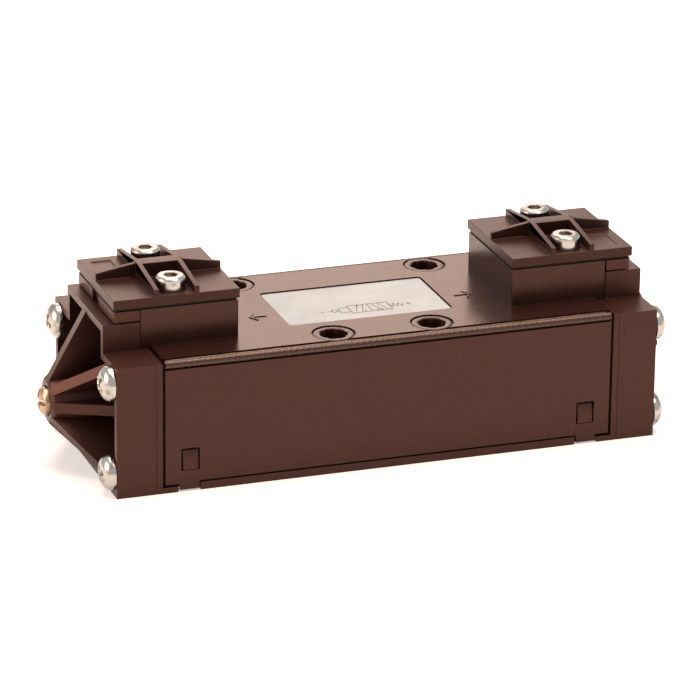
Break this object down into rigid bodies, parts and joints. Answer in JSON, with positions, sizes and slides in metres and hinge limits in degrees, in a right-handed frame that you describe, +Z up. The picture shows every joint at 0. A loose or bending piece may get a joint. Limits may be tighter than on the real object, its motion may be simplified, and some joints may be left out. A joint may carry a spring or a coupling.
{
  "type": "pneumatic pilot valve",
  "caption": "Spring-return spool valve for a sub-base: painted housing with raised pilot pads under ribbed covers, ribbed end caps held by screws, and a brass hand override.",
  "frame": {"origin": "on the face that stands on the sub-base, at the middle port's centre along the spool and midway between the two bolt rows", "axes": "+X along the spool towards the spring end, +Y towards the row with the wide pair of mounting holes, +Z up through the covers"},
  "size_m": [0.1522, 0.0516, 0.0474],
  "materials": {
    "paint": "dark brown semi-gloss paint over a die casting",
    "plastic": "dark brown glass-filled moulding, fine grain",
    "zinc": "bright zinc plate",
    "brass": "turned brass, slightly dull",
    "label": "pale satin film",
    "rubber": "black nitrile rubber",
    "aluminium": "fine-turned and polished",
    "resin": "white acetal",
    "steel": "spring steel"
  },
  "bodies": {
    "housing": {"valve_body": "paint", "base_plate": "plastic", "base_face_seal": "rubber", "label_plate": "label", "pilot_end_gasket": "rubber", "pilot_end_plate": "plastic", "pilot_end_cap": "plastic", "pilot_pad_cover": "plastic", "pilot_cover_gasket": "rubber", "pilot_pad_insert": "paint", "spring_end_gasket": "rubber", "spring_end_plate": "plastic", "spring_end_cap": "plastic", "spring_pad_cover": "plastic", "spring_cover_gasket": "rubber", "spring_pad_insert": "paint", "pilot_cap_screw_1": "zinc", "pilot_cap_screw_2": "zinc", "pilot_cap_screw_3": "zinc", "pilot_cap_screw_4": "zinc", "spring_cap_screw_1": "zinc", "spring_cap_screw_2": "zinc", "spring_cap_screw_3": "zinc", "spring_cap_screw_4": "zinc", "pilot_cover_screw_1": "zinc", "pilot_cover_screw_2": "zinc", "spring_cover_screw_1": "zinc", "spring_cover_screw_2": "zinc", "bore_seal_1": "rubber", "bore_seal_2": "rubber", "bore_seal_3": "rubber", "bore_seal_4": "rubber", "bore_seal_5": "rubber", "bore_seal_6": "rubber", "port_spacer_1": "resin", "port_spacer_2": "resin", "port_spacer_3": "resin", "port_spacer_4": "resin", "port_spacer_5": "resin", "pilot_liner": "resin", "spring_liner": "resin", "return_spring": "steel"},
    "spool": {"spool": "aluminium", "pilot_piston": "resin", "piston_seal": "rubber", "spring_guide": "resin"},
    "override_pin": {"override_pin": "brass", "override_pin_seal": "rubber", "override_pin_clip": "steel"}
  },
  "joints": [
    {"name": "spool_slide", "type": "slide", "parent": "housing", "child": "spool", "axis": [1, 0, 0], "range_m": [0, 0.004], "stiffness_N_per_m": 3590, "springref_m": -0.0042, "deforming": ["return_spring"]},
    {"name": "override_pin_slide", "type": "slide", "parent": "housing", "child": "override_pin", "axis": [1, 0, 0], "range_m": [0, 0.004]}
  ],
  "couplings": [
    {"joint": "override_pin_slide", "follows": "spool_slide", "ratio": 1}
  ]
}
